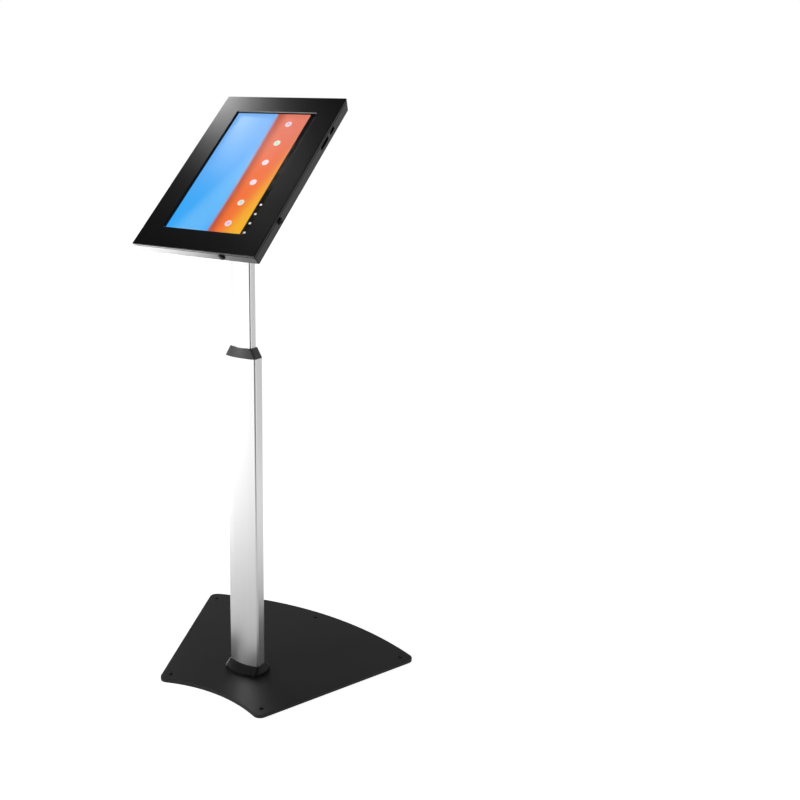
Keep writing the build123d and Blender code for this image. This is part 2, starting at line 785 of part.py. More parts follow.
# Swivel bolt: its low head lies in the tray, its nut is behind the bracket
swivel_nut_front = bracket_back + swivel_washer_thickness + running_gap
swivel_bolt_end = swivel_nut_front + nut_height + running_gap
with BuildPart() as swivel_bolt:
    with BuildSketch(at_depth(tray_floor)):
        Circle(swivel_bolt_head_diameter / 2)
    extrude(amount=swivel_bolt_head_height)
    fillet(swivel_bolt.faces().sort_by(face_axis)[-1].edges(), swivel_bolt_head_round)
    with BuildSketch(at_depth(tray_floor)):
        Circle(swivel_bolt_diameter / 2)
    extrude(amount=tray_floor - swivel_bolt_end)
swivel_bolt.part.label = "swivel_bolt"
export_step(swivel_bolt.part, "parts/swivel_bolt.step")

# Swivel nut, behind the bracket
with BuildPart() as swivel_nut:
    with Locations(Location(at_depth(swivel_nut_front + nut_height))):
        add(hexagon(nut_height, swivel_bolt_diameter + 2 * fit_clearance))
swivel_nut.part.label = "swivel_nut"
export_step(swivel_nut.part, "parts/swivel_nut.step")

# Places on the sloping walls: a security screw low on each side and one in the lower wall, hooks above
half_width = head_width / 2
half_height = head_height / 2
screw_planes = [
    wall_plane(across, half_width, side_screw_position, screw_depth),
    wall_plane(-across, half_width, -side_screw_position, screw_depth),
    wall_plane(-face_up, half_height, bottom_screw_position, screw_depth),
]
hook_planes = [
    wall_plane(face_up, half_height, -hook_position, screw_depth),
    wall_plane(face_up, half_height, hook_position, screw_depth),
]
slots = [(power_slot_position, power_slot_length), (volume_slot_position, volume_slot_length)]

# Rear tray: folded steel with sloping walls
with BuildPart() as rear_tray:
    with BuildSketch(at_depth(tray_front)):
        housing_outline(tray_front)
    with BuildSketch(at_depth(head_depth)):
        housing_outline(head_depth)
    loft()
    fillet(rear_tray.faces().sort_by(face_axis)[0].edges(), sheet_bend)
    with BuildSketch(at_depth(tray_front)):
        housing_outline(tray_front, sheet)
    with BuildSketch(at_depth(tray_floor)):
        housing_outline(tray_floor, sheet)
    loft(mode=Mode.SUBTRACT)
    for position, length in slots:
        with BuildSketch(wall_plane(across, half_width, position, button_depth)):
            RectangleRounded(length, slot_width, slot_corner)
        extrude(amount=2 * sheet, both=True, mode=Mode.SUBTRACT)
    for plane in screw_planes:
        with BuildSketch(plane):
            Circle(screw_diameter / 2 + screw_clearance)
        extrude(amount=2 * sheet, both=True, mode=Mode.SUBTRACT)
    with BuildSketch(at_depth(head_depth)):
        Circle(swivel_bolt_diameter / 2 + fit_clearance)
        with GridLocations(plate_hole_spacing, plate_hole_spacing, 2, 2):
            Circle(plate_screw_diameter / 2 + fit_clearance)
        with Locations((0, cable_hole_position)):
            Circle(cable_hole_diameter / 2)
    extrude(amount=sheet, mode=Mode.SUBTRACT)
rear_tray.part.label = "rear_tray"
export_step(rear_tray.part, "parts/rear_tray.step")

# Front cover: a shallow pan with a bevelled window, tabs for the screws and hooks for the upper wall
tab_inner = sheet + tab_gap
tab_front_y = (screw_depth - sheet / 2) / cos(slope_angle)
tab_back_y = (screw_depth - tab_end) / cos(slope_angle)
tab_middle_y = (tab_front_y + tab_back_y) / 2
with BuildPart() as front_cover:
    with BuildSketch(at_depth(0)):
        housing_outline(0)
    with BuildSketch(at_depth(cover_rim)):
        housing_outline(cover_rim)
    loft()
    fillet(front_cover.faces().sort_by(face_axis)[-1].edges(), sheet_bend)
    with BuildSketch(at_depth(sheet)):
        housing_outline(sheet, sheet)
    with BuildSketch(at_depth(cover_rim)):
        housing_outline(cover_rim, sheet)
    loft(mode=Mode.SUBTRACT)
    with BuildSketch(at_depth(0)):
        with Locations((0, window_rise)):
            RectangleRounded(window_width, window_height, window_corner)
    extrude(amount=-sheet, mode=Mode.SUBTRACT)
    window_edges = front_cover.faces().sort_by(face_axis)[-1].inner_wires().edges()
    chamfer(window_edges, window_bevel)
    for plane in screw_planes + hook_planes:
        with BuildSketch(plane.offset(-tab_inner)):
            with Locations((0, tab_middle_y)):
                Rectangle(tab_width, tab_front_y - tab_back_y)
        extrude(amount=-sheet)
    for plane in screw_planes:
        with BuildSketch(plane.offset(-tab_inner)):
            Circle(screw_diameter / 2 + screw_clearance)
        extrude(amount=-sheet, mode=Mode.SUBTRACT)
front_cover.part.label = "front_cover"
export_step(front_cover.part, "parts/front_cover.step")

# Nuts riveted to the backs of the tabs
nut_seat = tab_inner + sheet
with BuildPart() as rivet_nuts:
    for plane in screw_planes:
        with BuildSketch(plane.offset(-nut_seat)):
            Circle(rivet_nut_diameter / 2)
            Circle(screw_diameter / 2 + fit_clearance, mode=Mode.SUBTRACT)
        extrude(amount=-rivet_nut_length)
rivet_nuts.part.label = "rivet_nuts"
export_step(rivet_nuts.part, "parts/rivet_nuts.step")


def security_screw(diameter, length, head_diameter, head_height):
    """A button-head screw along -Z, its head on the origin, with a socket and the pin in it."""
    with BuildPart() as screw:
        with BuildSketch():
            Circle(head_diameter / 2)
        extrude(amount=head_height)
        fillet(screw.faces().sort_by(Axis.Z)[-1].edges(), screw_head_round)
        with BuildSketch(Plane.XY.offset(head_height)):
            RegularPolygon(socket_across_flats / 2, 6, major_radius=False)
            Circle(socket_pin_radius, mode=Mode.SUBTRACT)
        extrude(amount=-socket_depth, mode=Mode.SUBTRACT)
        with BuildSketch():
            Circle(diameter / 2)
        extrude(amount=-length)
    return screw.part


# Security screws, their heads outside the tray's walls
with BuildPart() as security_screws:
    with Locations(*screw_planes):
        add(
            security_screw(
                screw_diameter, nut_seat + rivet_nut_length, screw_head_diameter, screw_head_height
            )
        )
security_screws.part.label = "security_screws"
export_step(security_screws.part, "parts/security_screws.step")

# Foam frame between the cover's back and the glass
with BuildPart() as window_foam:
    with BuildSketch(at_depth(sheet + packing_gap)):
        with Locations((0, window_rise)):
            Rectangle(
                window_width + 2 * (window_foam_margin + window_foam_width),
                window_height + 2 * (window_foam_margin + window_foam_width),
            )
            Rectangle(
                window_width + 2 * window_foam_margin,
                window_height + 2 * window_foam_margin,
                mode=Mode.SUBTRACT,
            )
    extrude(amount=sheet + 2 * packing_gap - tablet_front)
window_foam.part.label = "window_foam"
export_step(window_foam.part, "parts/window_foam.step")

# Foam blocks that centre the tablet's corners in the tray
block_end = tray_floor - packing_gap
block_half_width = half_width - block_end * wall_slope - sheet - corner_block_gap
block_half_height = half_height - block_end * wall_slope - sheet - corner_block_gap
with BuildPart() as corner_blocks:
    with BuildSketch(at_depth(corner_block_front)):
        for side in (-1, 1):
            for end in (-1, 1):
                with Locations((side * block_half_width, end * block_half_height)):
                    Rectangle(
                        corner_block_length,
                        corner_block_length,
                        align=(Align.MAX if side > 0 else Align.MIN, Align.MAX if end > 0 else Align.MIN),
                    )
        RectangleRounded(
            tablet_width + 2 * packing_gap,
            tablet_height + 2 * packing_gap,
            tablet_corner,
            mode=Mode.SUBTRACT,
        )
    extrude(amount=corner_block_front - block_end)
corner_blocks.part.label = "corner_blocks"
export_step(corner_blocks.part, "parts/corner_blocks.step")

# Foam pads between the tray floor and the tablet's back
with BuildPart() as back_pads:
    with BuildSketch(at_depth(tablet_back + packing_gap)):
        with GridLocations(2 * back_pad_x, 2 * back_pad_y, 2, 2):
            Rectangle(back_pad_width, back_pad_length)
    extrude(amount=tablet_back + 2 * packing_gap - tray_floor)
back_pads.part.label = "back_pads"
export_step(back_pads.part, "parts/back_pads.step")

# Tablet: a moulded shell with a glass front and a display module under it
shell_front = tablet_front + glass_proud
glass_back = tablet_front + glass_thickness
buttons = [
    (power_slot_position, power_button_length),
    (volume_slot_position, volume_button_length),
]
display_width = window_width + 2 * display_margin
display_height = window_height + 2 * display_margin
with BuildPart() as tablet_shell:
    with BuildSketch(at_depth(shell_front)):
        RectangleRounded(tablet_width, tablet_height, tablet_corner)
    extrude(amount=shell_front - tablet_back)
    fillet(tablet_shell.faces().sort_by(face_axis)[0].edges(), tablet_edge_round)
    with BuildSketch(at_depth(glass_back + fit_clearance)):
        RectangleRounded(
            tablet_width - 2 * glass_margin + 2 * fit_clearance,
            tablet_height - 2 * glass_margin + 2 * fit_clearance,
            tablet_corner - glass_margin,
        )
    extrude(amount=glass_back, mode=Mode.SUBTRACT)
    with BuildSketch(at_depth(glass_back)):
        with Locations((0, window_rise)):
            Rectangle(display_width + 2 * fit_clearance, display_height + 2 * fit_clearance)
    extrude(amount=-display_thickness - 2 * fit_clearance, mode=Mode.SUBTRACT)
    for position, length in buttons:
        with BuildSketch(cheek_plane.offset(tablet_width / 2)):
            with Locations((position, -button_depth)):
                RectangleRounded(
                    length + 2 * button_gap,
                    button_thickness + 2 * button_gap,
                    button_thickness / 2,
                )
        extrude(amount=-button_sunk, mode=Mode.SUBTRACT)
tablet_shell.part.label = "tablet_shell"
export_step(tablet_shell.part, "parts/tablet_shell.step")

# Display module, under the glass
with BuildPart() as display_panel:
    with BuildSketch(at_depth(glass_back + fit_clearance)):
        with Locations((0, window_rise)):
            Rectangle(display_width, display_height)
    extrude(amount=-display_thickness)
display_panel.part.label = "display_panel"
export_step(display_panel.part, "parts/display_panel.step")

# Cover glass
with BuildPart() as tablet_glass:
    with BuildSketch(at_depth(tablet_front)):
        RectangleRounded(
            tablet_width - 2 * glass_margin,
            tablet_height - 2 * glass_margin,
            tablet_corner - glass_margin,
        )
    extrude(amount=-glass_thickness)
tablet_glass.part.label = "tablet_glass"
export_step(tablet_glass.part, "parts/tablet_glass.step")

# Power button on the tablet's edge, behind the tray's upper side opening
button_plane = cheek_plane.offset(tablet_width / 2 + button_proud)
button_height = button_proud + button_sunk / 2
with BuildPart() as power_button:
    with BuildSketch(button_plane):
        with Locations((power_slot_position, -button_depth)):
            RectangleRounded(power_button_length, button_thickness, button_thickness / 2 - button_gap)
    extrude(amount=-button_height)
power_button.part.label = "power_button"
export_step(power_button.part, "parts/power_button.step")

# Volume button, behind the lower side opening
with BuildPart() as volume_button:
    with BuildSketch(button_plane):
        with Locations((volume_slot_position, -button_depth)):
            RectangleRounded(volume_button_length, button_thickness, button_thickness / 2 - button_gap)
    extrude(amount=-button_height)
volume_button.part.label = "volume_button"
export_step(volume_button.part, "parts/volume_button.step")
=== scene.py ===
import json
from math import cos, pi, radians, sin

import bpy
import numpy as np
from mathutils import Matrix, Vector


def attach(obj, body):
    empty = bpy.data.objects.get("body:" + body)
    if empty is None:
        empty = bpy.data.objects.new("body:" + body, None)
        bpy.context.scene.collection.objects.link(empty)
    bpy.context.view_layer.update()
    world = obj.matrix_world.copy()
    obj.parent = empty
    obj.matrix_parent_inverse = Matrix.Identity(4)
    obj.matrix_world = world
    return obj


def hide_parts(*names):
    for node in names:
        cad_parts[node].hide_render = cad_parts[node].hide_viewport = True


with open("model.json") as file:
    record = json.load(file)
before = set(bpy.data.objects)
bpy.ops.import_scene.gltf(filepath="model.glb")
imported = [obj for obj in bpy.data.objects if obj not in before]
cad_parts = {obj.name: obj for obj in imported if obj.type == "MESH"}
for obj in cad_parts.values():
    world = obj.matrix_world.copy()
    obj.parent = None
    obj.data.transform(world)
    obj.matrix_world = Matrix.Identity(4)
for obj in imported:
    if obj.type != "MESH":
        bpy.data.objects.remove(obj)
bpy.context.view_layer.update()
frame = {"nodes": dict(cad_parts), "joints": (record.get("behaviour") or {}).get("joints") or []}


# The view. The camera stands to the right of the front, level with the housing's foot,
# and looks a little down. Its place is measured from the column's foot, in metres.
camera_place = Vector((0.8346, -1.0553, 0.8164))
camera_azimuth = radians(28.82)
camera_elevation = radians(15.67)
camera_roll = radians(-1.85)
camera_lens = 43.4

right = Vector((cos(camera_azimuth), sin(camera_azimuth), 0))
back = Vector((sin(camera_azimuth), -cos(camera_azimuth), 0)) * cos(camera_elevation)
back.z = sin(camera_elevation)
up = back.cross(right)
camera_axes = Matrix((
    cos(camera_roll) * right - sin(camera_roll) * up,
    sin(camera_roll) * right + cos(camera_roll) * up,
    back,
))
camera = bpy.data.objects.new("camera", bpy.data.cameras.new("camera"))
camera.data.lens = camera_lens
camera.matrix_world = Matrix.Translation(camera_place) @ camera_axes.transposed().to_4x4()
bpy.context.scene.collection.objects.link(camera)
bpy.context.scene.camera = camera
bpy.context.scene.view_settings.view_transform = "Standard"


# The room. A white floor that runs out to a white surround, dark above, so that the
# coated steel stays black and the column shows the white of the floor.
class Field:
    """A socket whose value varies. Python's operators on it add the Math nodes that work it out."""

    def __init__(self, nodes, socket):
        self.nodes = nodes
        self.socket = socket

    def math(self, operation, *values):
        return self.nodes.add("ShaderNodeMath", {"operation": operation}, dict(enumerate(values)))

    def __add__(self, other):
        return self.math("ADD", self, other)

    def __radd__(self, other):
        return self.math("ADD", other, self)

    def __sub__(self, other):
        return self.math("SUBTRACT", self, other)

    def __rsub__(self, other):
        return self.math("SUBTRACT", other, self)

    def __mul__(self, other):
        return self.math("MULTIPLY", self, other)

    def __rmul__(self, other):
        return self.math("MULTIPLY", other, self)

    def __truediv__(self, other):
        return self.math("DIVIDE", self, other)

    def __abs__(self):
        return self.math("ABSOLUTE", self)

    def __lt__(self, other):
        return self.math("LESS_THAN", self, other)

    def __gt__(self, other):
        return self.math("GREATER_THAN", self, other)

    def step(self, start, end):
        """0 before start and 1 after end, smooth between them."""
        sockets = {"Value": self, "From Min": start, "From Max": end}
        return self.nodes.add("ShaderNodeMapRange", {"interpolation_type": "SMOOTHSTEP"}, sockets)

    def part(self, name):
        """One of the three numbers of a place or direction."""
        return self.nodes.add("ShaderNodeSeparateXYZ", {}, {0: self}, name)


class Nodes:
    """The shader nodes of one material or of the world."""

    def __init__(self, owner):
        owner.use_nodes = True
        self.tree = owner.node_tree
        self.tree.nodes.clear()

    def add(self, kind, settings, sockets, output=0):
        """Adds a node, its settings first and then its sockets' values or links, and gives an output."""
        node = self.tree.nodes.new(kind)
        for name, value in settings.items():
            setattr(node, name, value)
        for key, value in sockets.items():
            if isinstance(value, Field):
                self.tree.links.new(value.socket, node.inputs[key])
            else:
                node.inputs[key].default_value = value
        return Field(self, node.outputs[output]) if len(node.outputs) else None

    def colour(self, factor, first, second):
        """The colour between two colours, by a factor."""
        return self.add("ShaderNodeMix", {"data_type": "RGBA"}, {0: factor, 6: first, 7: second}, 2)

    def ray(self, name):
        """1 for one kind of ray, such as those of the camera, and 0 for the rest."""
        return self.add("ShaderNodeLightPath", {}, {}, "Is " + name + " Ray")


white = (1.0, 1.0, 1.0, 1.0)
floor_half = 9.0
floor_colour = (0.8, 0.8, 0.8, 1.0)
near_glow = 0.88
far_glow = 1.0
near_reflection = 0.2
far_reflection = 0.85
floor_paint = bpy.data.materials.new("floor")
nodes = Nodes(floor_paint)
place = nodes.add("ShaderNodeTexCoord", {}, {}, "Object")
distance = nodes.add("ShaderNodeVectorMath", {"operation": "LENGTH"}, {0: place}, "Value")
plain = near_glow + distance.step(1.2, 4.0) * (far_glow - near_glow)
mirrored = near_reflection + distance.step(0.05, 1.1) * (far_reflection - near_reflection)
seen = nodes.ray("Camera") * plain + nodes.ray("Glossy") * mirrored + nodes.ray("Transmission") * plain
glow = nodes.add("ShaderNodeEmission", {}, {"Color": white, "Strength": seen})
matt = nodes.add("ShaderNodeBsdfDiffuse", {}, {"Color": floor_colour})
both = nodes.add("ShaderNodeAddShader", {}, {0: glow, 1: matt})
nodes.add("ShaderNodeOutputMaterial", {}, {"Surface": both})

floor_mesh = bpy.data.meshes.new("floor")
floor_corners = [(x * floor_half, y * floor_half, 0) for x, y in ((-1, -1), (1, -1), (1, 1), (-1, 1))]
floor_mesh.from_pydata(floor_corners, [], [(0, 1, 2, 3)])
floor_mesh.materials.append(floor_paint)
floor = bpy.data.objects.new("floor", floor_mesh)
bpy.context.scene.collection.objects.link(floor)

wall_top = 0.12
ceiling_start = 0.5
wall_brightness = 0.85
ceiling_brightness = 0.045
room = bpy.data.worlds.new("room")
nodes = Nodes(room)
height = nodes.add("ShaderNodeTexCoord", {}, {}, "Generated").part("Z")
surround = wall_brightness - height.step(wall_top, ceiling_start) * (wall_brightness - ceiling_brightness)
straight = nodes.ray("Camera")
brightness = straight + (1 - straight) * surround
nodes.add("ShaderNodeOutputWorld", {}, {
    "Surface": nodes.add("ShaderNodeBackground", {}, {"Color": white, "Strength": brightness}),
})
bpy.context.scene.world = room


def softbox(name, place, aim, width, height, power):
    """A soft rectangular lamp at a place, turned to an aim and out of the camera's sight."""
    lamp = bpy.data.lights.new(name, "AREA")
    lamp.shape = "RECTANGLE"
    lamp.size = width
    lamp.size_y = height
    lamp.energy = power
    stand = bpy.data.objects.new(name, lamp)
    stand.location = place
    stand.rotation_euler = (Vector(aim) - Vector(place)).to_track_quat("-Z", "Y").to_euler()
    stand.visible_camera = False
    bpy.context.scene.collection.objects.link(stand)


def card(name, bearing, distance, width, height, brightness):
    """An upright card that only the gloss sees, at a bearing from the front round to the right."""
    outward = Vector((sin(bearing), -cos(bearing), 0))
    sideways = Vector((cos(bearing), sin(bearing), 0)) * (width / 2)
    foot = outward * distance
    corners = [foot - sideways, foot + sideways]
    corners += [corner + Vector((0, 0, height)) for corner in reversed(corners)]
    mesh = bpy.data.meshes.new(name)
    mesh.from_pydata([corner[:] for corner in corners], [], [(0, 1, 2, 3)])
    paper = bpy.data.materials.new(name)
    nodes = Nodes(paper)
    glow = nodes.add("ShaderNodeEmission", {}, {"Color": white, "Strength": brightness})
    nodes.add("ShaderNodeOutputMaterial", {}, {"Surface": glow})
    mesh.materials.append(paper)
    board = bpy.data.objects.new(name, mesh)
    board.visible_camera = False
    board.visible_diffuse = False
    board.visible_shadow = False
    board.visible_transmission = False
    bpy.context.scene.collection.objects.link(board)


softbox("sheen_lamp", (-0.49, 0.195, 1.245), (-0.1, 0.07, 0.85), 0.14, 0.14, 0.8)
softbox("front_lamp", (-1.2, -2.6, 1.6), (0, 0, 0.5), 1.6, 1.6, 16)
softbox("side_lamp", (2.6, 0.9, 1.5), (0, 0, 0.5), 1.2, 1.6, 6)
softbox("low_lamp", (-0.7, 0.1, 0.02), (0, -0.15, 0.64), 0.5, 0.5, 5)
softbox("collar_lamp", (-1.52, -1.94, 0.91), (0, 0, 0.5), 0.5, 0.5, 10)
card("dark_card", radians(50), 0.7, 0.75, 0.95, 0.02)
card("grey_card", radians(142), 0.9, 1.0, 1.0, 0.6)


# Base plate. Five millimetre steel cut as a slice of a ring, with its holes drilled and
# its upper edge broken, then powder coated satin black. It stands on its rubber pads.
def dress(node, finish):
    """Gives a piece of the model its finish."""
    for slot in frame["nodes"][node].material_slots:
        slot.material = finish


def grain(nodes, size, detail=2.0, stretch=(1, 1, 1)):
    """Cloudy noise between 0 and 1 whose features are about size metres, drawn out by stretch."""
    place = nodes.add("ShaderNodeTexCoord", {}, {}, "Object")
    place = nodes.add("ShaderNodeMapping", {}, {"Vector": place, "Scale": [1 / s for s in stretch]})
    sockets = {"Vector": place, "Scale": 0.5 / size, "Detail": detail}
    return nodes.add("ShaderNodeTexNoise", {}, sockets, "Fac")


def rounded(nodes, radius):
    """The surface direction with the edges rounded to a radius, and how strongly each place is an edge."""
    soft = nodes.add("ShaderNodeBevel", {"samples": 4}, {"Radius": radius}, "Normal")
    hard = nodes.add("ShaderNodeNewGeometry", {}, {}, "Normal")
    along = nodes.add("ShaderNodeVectorMath", {"operation": "DOT_PRODUCT"}, {0: soft, 1: hard}, "Value")
    return soft, (1 - along).step(0.02, 0.3)


def finished(nodes, relief, depth, soft, sockets):
    """Ends a material: relief of a depth in metres over the rounded normals, and the Principled shader."""
    bumps = nodes.add("ShaderNodeBump", {}, {"Height": relief, "Distance": depth, "Normal": soft})
    surface = nodes.add("ShaderNodeBsdfPrincipled", {}, {**sockets, "Normal": bumps})
    nodes.add("ShaderNodeOutputMaterial", {}, {"Surface": surface})


def powder_coat(name, black, roughness, peel_depth):
    """Satin black powder coat: orange peel, faint mottling, and a painted highlight that lightens its
    edges.
    """
    paint = bpy.data.materials.new(name)
    nodes = Nodes(paint)
    peel = grain(nodes, 0.0007)
    mottle = grain(nodes, 0.018, 4)
    handled = grain(nodes, 0.06, 3).step(0.5, 0.75)
    soft, edge = rounded(nodes, 0.0006)
    dark = (black, black, black * 1.04, 1)
    pale = (black * 1.7, black * 1.7, black * 1.75, 1)
    # Painted highlight: the edges are painted six times lighter where the rounded normal turns away from
    # the flat face.
    painted_edge_highlight = (black * 6, black * 6, black * 6, 1)
    finished(nodes, peel, peel_depth, soft, {
        "Base Color": nodes.colour(edge * 0.5, nodes.colour(mottle, dark, pale), painted_edge_highlight),
        "Roughness": roughness + (mottle - 0.5) * 0.04 + handled * 0.02,
    })
    return paint


plate_coat = powder_coat("base_powder_coat", 0.011, 0.4, 0.00005)
dress("base_plate", plate_coat)


# Rubber pads, die cut from sheet and stuck under the plate. They hold it off the floor
# and stop it sliding.
def rubber(name, black, roughness, pit):
    """Matt black rubber or foam: fine pits of a size in metres, and a greyish bloom."""
    skin = bpy.data.materials.new(name)
    nodes = Nodes(skin)
    pits = grain(nodes, pit, 3)
    bloom = grain(nodes, 0.012, 3)
    soft, edge = rounded(nodes, 0.0004)
    finished(nodes, pits, pit * 0.25, soft, {
        "Base Color": nodes.colour(bloom, (black, black, black, 1), (black * 2, black * 2, black * 2, 1)),
        "Roughness": roughness - edge * 0.1,
    })
    return skin


dress("base_pads", rubber("pad_rubber", 0.02, 0.8, 0.0005))


# Base screws. Countersunk machine screws from below, zinc plated, into the foot block.
def plated_steel(name, tint, roughness, brush):
    """Plated or blackened steel: turning marks of a size in metres, a slightly cloudy plating, and a
    painted highlight on its edges.
    """
    plating = bpy.data.materials.new(name)
    nodes = Nodes(plating)
    marks = grain(nodes, brush, 3, (1, 1, 6))
    cloud = grain(nodes, 0.004, 3)
    soft, edge = rounded(nodes, 0.0003)
    # Painted highlight: the edges are painted a quarter lighter where the rounded normal turns away from
    # the flat face.
    highlit_edge_tint = tuple(min(1, 1.25 * value) for value in tint)
    finished(nodes, marks, 0.00002, soft, {
        "Base Color": nodes.colour(edge, (*tint, 1), (*highlit_edge_tint, 1)),
        "Metallic": 1.0,
        "Roughness": roughness + (cloud - 0.5) * 0.16,
    })
    return plating


zinc = plated_steel("zinc_plate", (0.58, 0.59, 0.6), 0.34, 0.0004)
black_steel = plated_steel("black_steel", (0.035, 0.035, 0.037), 0.36, 0.0003)


turn_steps = 48
rows_per_turn = 10
star_depth = 0.12


def turned_screws(name, seats, head, socket, shank, finish, body, node):
    """Screws of one size, each a surface carried round its axis from its socket to its tip.

    A seat is a place and the direction out of the head. The point of a row at an angle a lies
    at place + radius * (cos a * side + sin a * over) + height * out. The radius is the
    outline's, except in the socket and on the thread. A hexagon's wall stands at half its width
    / cos((a + 30 degrees) mod 60 degrees - 30 degrees), and a star's at half its width
    * (1 + star_depth * cos 6a). The thread takes
    half the pitch * |2 frac(height / pitch + a / 2 pi) - 1| off the shank. Lengths are in
    millimetres.
    """
    star, width, depth, pin = socket
    radius, end, pitch = shank
    angle = np.linspace(0, 2 * pi, turn_steps, endpoint=False)
    hexagon = width / 2 / np.cos((angle + pi / 6) % (pi / 3) - pi / 6)
    wall = width / 2 * (1 + star_depth * np.cos(6 * angle)) if star else hexagon
    top = head[0][1]
    floor = top - depth
    core = [(0.8 * pin, top - 0.3), (pin, top - 0.5), (pin, floor)] if pin else [(0.2, floor)]
    shoulder = head[-1][1]
    turns = np.linspace(shoulder, end, int((shoulder - end) / pitch * rows_per_turn))
    fade = np.clip((shoulder - turns) / pitch, 0, 1)
    ridge = np.abs(2 * ((turns[:, None] / pitch + angle / (2 * pi)) % 1) - 1)
    smooth = np.ones(len(angle))
    radii = np.vstack([
        [row[0] * smooth for row in core],
        [wall, wall, 1.05 * wall],
        [row[0] * smooth for row in head],
        radius - 0.5 * pitch * ridge * fade[:, None],
        [0.6 * radius * smooth],
    ]) * 0.001
    heights = np.concatenate([
        [row[1] for row in core], [floor, top - 0.1, top], [row[1] for row in head], turns, [end],
    ]) * 0.001
    out = np.array([direction[:] for place, direction in seats])
    side = np.array([direction.orthogonal().normalized()[:] for place, direction in seats])
    over = np.cross(out, side)
    spoke = np.cos(angle)[:, None] * side[:, None] + np.sin(angle)[:, None] * over[:, None]
    points = radii[None, :, :, None] * spoke[:, None] + heights[:, None, None] * out[:, None, None]
    points += np.array([place[:] for place, direction in seats])[:, None, None]

    rows, steps = radii.shape
    row, step = np.mgrid[0:rows - 1, 0:steps]
    beside = (step + 1) % steps
    below = row + 1
    quads = np.stack([
        row * steps + step, below * steps + step, below * steps + beside, row * steps + beside,
    ])
    starts = np.arange(len(seats)) * rows * steps
    quads = starts[:, None, None] + quads.reshape(4, -1).T
    first = starts[:, None] + np.arange(steps)
    last = starts[:, None] + rows * steps - 1 - np.arange(steps)
    mesh = bpy.data.meshes.new(name)
    faces = quads.reshape(-1, 4).tolist() + first.tolist() + last.tolist()
    mesh.from_pydata(points.reshape(-1, 3).tolist(), [], faces)
    mesh.polygons.foreach_set("use_smooth", np.ones(len(mesh.polygons), dtype=bool))
    mesh.set_sharp_from_angle(angle=radians(35))
    mesh.materials.append(finish)
    piece = bpy.data.objects.new(name, mesh)
    bpy.context.scene.collection.objects.link(piece)
    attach(piece, body)
    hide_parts(node)


down = Vector((0, 0, -1))
turned_screws(
    "countersunk_base_screws", [(Vector((x, 0, 0.001)), down) for x in (-0.014, 0.014)],
    [(5.9, 0), (3, -2.9)], (False, 4, 2.4, 0), (3, -23, 1), zinc, "base", "base_screws",
)


# Foot block. An aluminium casting that fills the column's lower end, held by the screws
# from below and by two set screws through the tube.
def cast_metal(name, tint):
    """Sand-blasted cast aluminium: coarse grain and dull, cloudy metal."""
    metal = bpy.data.materials.new(name)
    nodes = Nodes(metal)
    blast = grain(nodes, 0.0008, 4)
    cloud = grain(nodes, 0.01, 3)
    soft, edge = rounded(nodes, 0.0008)
    finished(nodes, blast, 0.00012, soft, {
        "Base Color": nodes.colour(cloud, (*tint, 1), (*[0.8 * value for value in tint], 1)),
        "Metallic": 1.0,
        "Roughness": 0.55 - edge * 0.15,
    })
    return metal


cast_aluminium = cast_metal("cast_aluminium", (0.55, 0.55, 0.57))
dress("column_foot", cast_aluminium)
rightward = Vector((1, 0, 0))
outer_half_width = 0.0265


def both_sides(half_width, height):
    """The seats of two screws that face each other across the column at a height."""
    return [(rightward * side * half_width + Vector((0, 0, height)), rightward * side) for side in (-1, 1)]


turned_screws(
    "foot_set_screws", both_sides(outer_half_width, 0.015),
    [(1.7, 0), (2, -0.3)], (False, 2, 1.8, 0), (2, -9, 0.7), zinc, "base", "foot_screws",
)


# Base collar. A black moulding with flared sides that hides the joint between the column
# and the plate. It is pushed down over the column.
def moulded_plastic(name, black, roughness, spark=0.0004, shine=0.5):
    """Moulded black plastic: the fine spark-eroded grain of the mould, glossier on its edges."""
    plastic = bpy.data.materials.new(name)
    nodes = Nodes(plastic)
    texture = grain(nodes, spark, 3)
    flow = grain(nodes, 0.02, 2)
    soft, edge = rounded(nodes, 0.0005)
    pale = 1.5 * black
    finished(nodes, texture, spark * 0.1, soft, {
        "Base Color": nodes.colour(flow, (black, black, black, 1), (pale, pale, pale, 1)),
        "Roughness": roughness + (flow - 0.5) * 0.06 - edge * 0.1,
        "Specular IOR Level": shine,
    })
    return plastic


dress("base_collar", moulded_plastic("skirt_plastic", 0.007, 0.4, shine=0.25))


# Outer column. A drawn aluminium tube with crowned broad faces and rounded corners,
# satin anodised. The die leaves fine lines along it.
def drawn_aluminium(name, tint, roughness):
    """Anodised drawn tube: hair lines and broad soft streaks that run the tube's length."""
    tube = bpy.data.materials.new(name)
    nodes = Nodes(tube)
    hairs = grain(nodes, 0.00025, 3, (1, 1, 900))
    streaks = grain(nodes, 0.003, 3, (1, 1, 90))
    soft, edge = rounded(nodes, 0.0005)
    finished(nodes, hairs, 0.000006, soft, {
        "Base Color": nodes.colour(streaks, (*tint, 1), (*[0.95 * value for value in tint], 1)),
        "Metallic": 1.0,
        "Roughness": roughness + (hairs - 0.5) * 0.08 + (streaks - 0.5) * 0.06,
    })
    return tube


dress("outer_column", drawn_aluminium("outer_anodised", (0.92, 0.92, 0.925), 0.36))


# Top collar. One black moulding: a tapered collar on the column's end and the sleeve in
# the tube that guides the inner column.
dress("top_collar", moulded_plastic("sleeve_plastic", 0.045, 0.36))


# Height lock. A brass insert in the sleeve takes the lock screw, which presses a soft
# pad on the inner column.
dress("lock_insert", plated_steel("turned_brass", (0.72, 0.54, 0.26), 0.28, 0.0003))
dress("lock_pad", moulded_plastic("pad_nylon", 0.3, 0.5))
turned_screws(
    "lock_set_screw", [(Vector((-outer_half_width, 0, 0.487)), -rightward)],
    [(2.6, 0), (3, -0.4)], (False, 3, 2.5, 0), (3, -7.75, 1),
    black_steel, "base", "lock_screw",
)


# Inner column. The same section as the outer one, smaller, and anodised the same way.
dress("inner_column", drawn_aluminium("inner_anodised", (0.94, 0.94, 0.945), 0.28))


